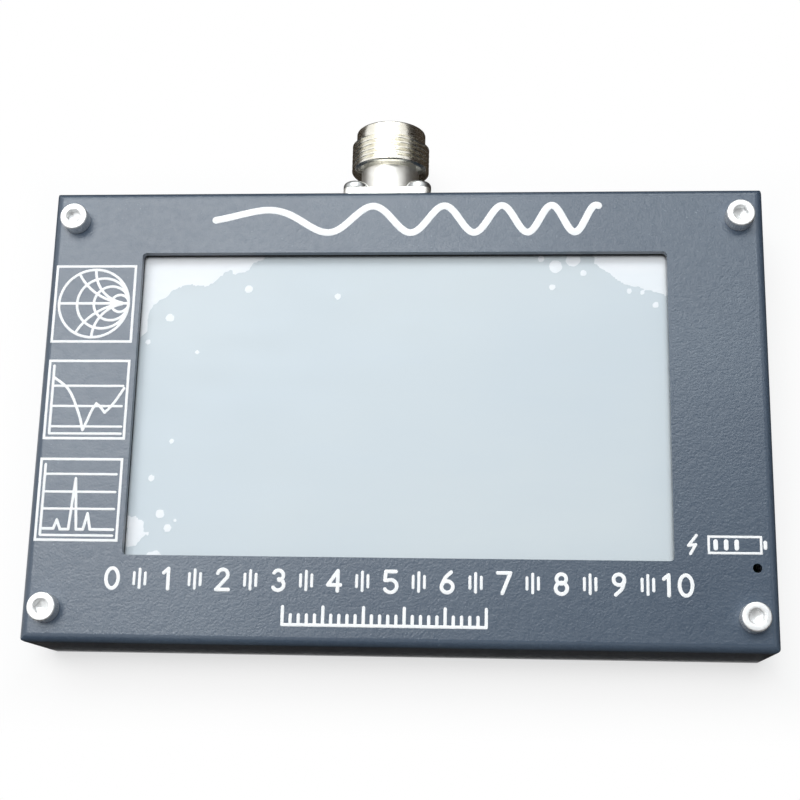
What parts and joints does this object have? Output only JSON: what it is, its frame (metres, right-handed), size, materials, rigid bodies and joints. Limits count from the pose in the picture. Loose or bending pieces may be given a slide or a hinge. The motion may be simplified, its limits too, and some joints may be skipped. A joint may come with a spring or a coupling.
{
  "type": "antenna analyzer",
  "caption": "Flat sheet-metal box with a recessed touch screen, corner cap screws, a type N aerial socket on its upper wall, a power slide switch and a memory card.",
  "frame": {"origin": "middle of the back plate's outer face, which the object lies on", "axes": "+Z out of the screen, +Y up towards the aerial socket, +X to the reader's right"},
  "size_m": [0.141, 0.1065, 0.0246],
  "materials": {
    "powder_coat": "fine-textured satin black powder coat",
    "powder_coat_back": "fine-textured satin black powder coat",
    "cap_screw_steel": "bright zinc-plated steel",
    "back_screw_steel": "bright zinc-plated steel",
    "flange_screw_steel": "bright nickel-plated steel",
    "nut_steel": "zinc-plated steel",
    "standoff_brass": "turned brass",
    "board_laminate": "green solder mask on glass laminate",
    "protective_film": "milky protective film, lifted at corners",
    "touch_glass": "glossy touch panel",
    "gasket_foam": "black foam",
    "frame_steel": "thin bright steel",
    "light_guide": "white light guide",
    "lcd_glass": "unlit liquid-crystal glass",
    "pad_foam": "foam pad",
    "flex_film": "amber polyimide film",
    "connector_plastic": "ivory nylon",
    "nickel_plate": "bright nickel plate, lathe-turned",
    "insulator_plastic": "white fluoropolymer",
    "gold_plate": "gold-plated bronze",
    "switch_steel": "nickel-plated steel",
    "switch_plastic": "black moulded plastic",
    "card_plastic": "black moulded plastic",
    "socket_steel": "thin stainless sheet",
    "usb_steel": "nickel-plated sheet",
    "tongue_plastic": "black moulded plastic",
    "tape_foam": "double-sided tape",
    "battery_foil": "laminated foil pouch",
    "header_plastic": "white nylon",
    "red_insulation": "silicone insulation",
    "black_insulation": "silicone insulation",
    "can_tinplate": "tin-plated sheet",
    "chip_resin": "moulded black resin",
    "resistor_ceramic": "glazed film resistor",
    "ferrite": "pressed ferrite",
    "capacitor_resin": "yellow moulded resin",
    "led_lens": "clear resin"
  },
  "bodies": {
    "case": {"front_cover": "powder_coat", "back_plate": "powder_coat_back", "case_screws": "cap_screw_steel", "back_screws": "back_screw_steel", "lower_standoffs": "standoff_brass", "upper_standoffs": "standoff_brass", "main_board": "board_laminate", "screen_film": "protective_film", "touch_panel": "touch_glass", "display_gasket": "gasket_foam", "lcd_frame": "frame_steel", "backlight_unit": "light_guide", "lcd_panel": "lcd_glass", "lcd_support_pads": "pad_foam", "lcd_flex": "flex_film", "touch_flex": "flex_film", "lcd_flex_connector": "connector_plastic", "touch_flex_connector": "connector_plastic", "aerial_socket_body": "nickel_plate", "socket_insulator": "insulator_plastic", "socket_contact": "gold_plate", "socket_screws": "flange_screw_steel", "socket_nuts": "nut_steel", "power_switch_frame": "switch_steel", "card_socket": "socket_steel", "usb_socket": "usb_steel", "usb_tongue": "tongue_plastic", "battery_tape": "tape_foam", "battery": "battery_foil", "battery_connector": "header_plastic", "battery_plug": "header_plastic", "battery_lead_red": "red_insulation", "battery_lead_black": "black_insulation", "shield_can": "can_tinplate", "clock_generator": "chip_resin", "mixer_chips": "chip_resin", "microcontroller": "chip_resin", "memory_chip": "chip_resin", "flash_chip": "chip_resin", "codec_chip": "chip_resin", "voltage_regulator": "chip_resin", "charger_chip": "chip_resin", "bridge_resistors": "resistor_ceramic", "crystal": "can_tinplate", "power_inductors": "ferrite", "capacitors": "capacitor_resin", "charge_led": "led_lens"},
    "power_lever": {"power_switch_lever": "switch_plastic"},
    "card": {"memory_card": "card_plastic"}
  },
  "joints": [
    {"name": "power_switch_slide", "type": "slide", "parent": "case", "child": "power_lever", "axis": [1, 0, 0], "range_m": [0, 0.002]},
    {"name": "memory_card_slide", "type": "slide", "parent": "case", "child": "card", "axis": [-1, 0, 0], "range_m": [-0.0006, 0.004]}
  ]
}
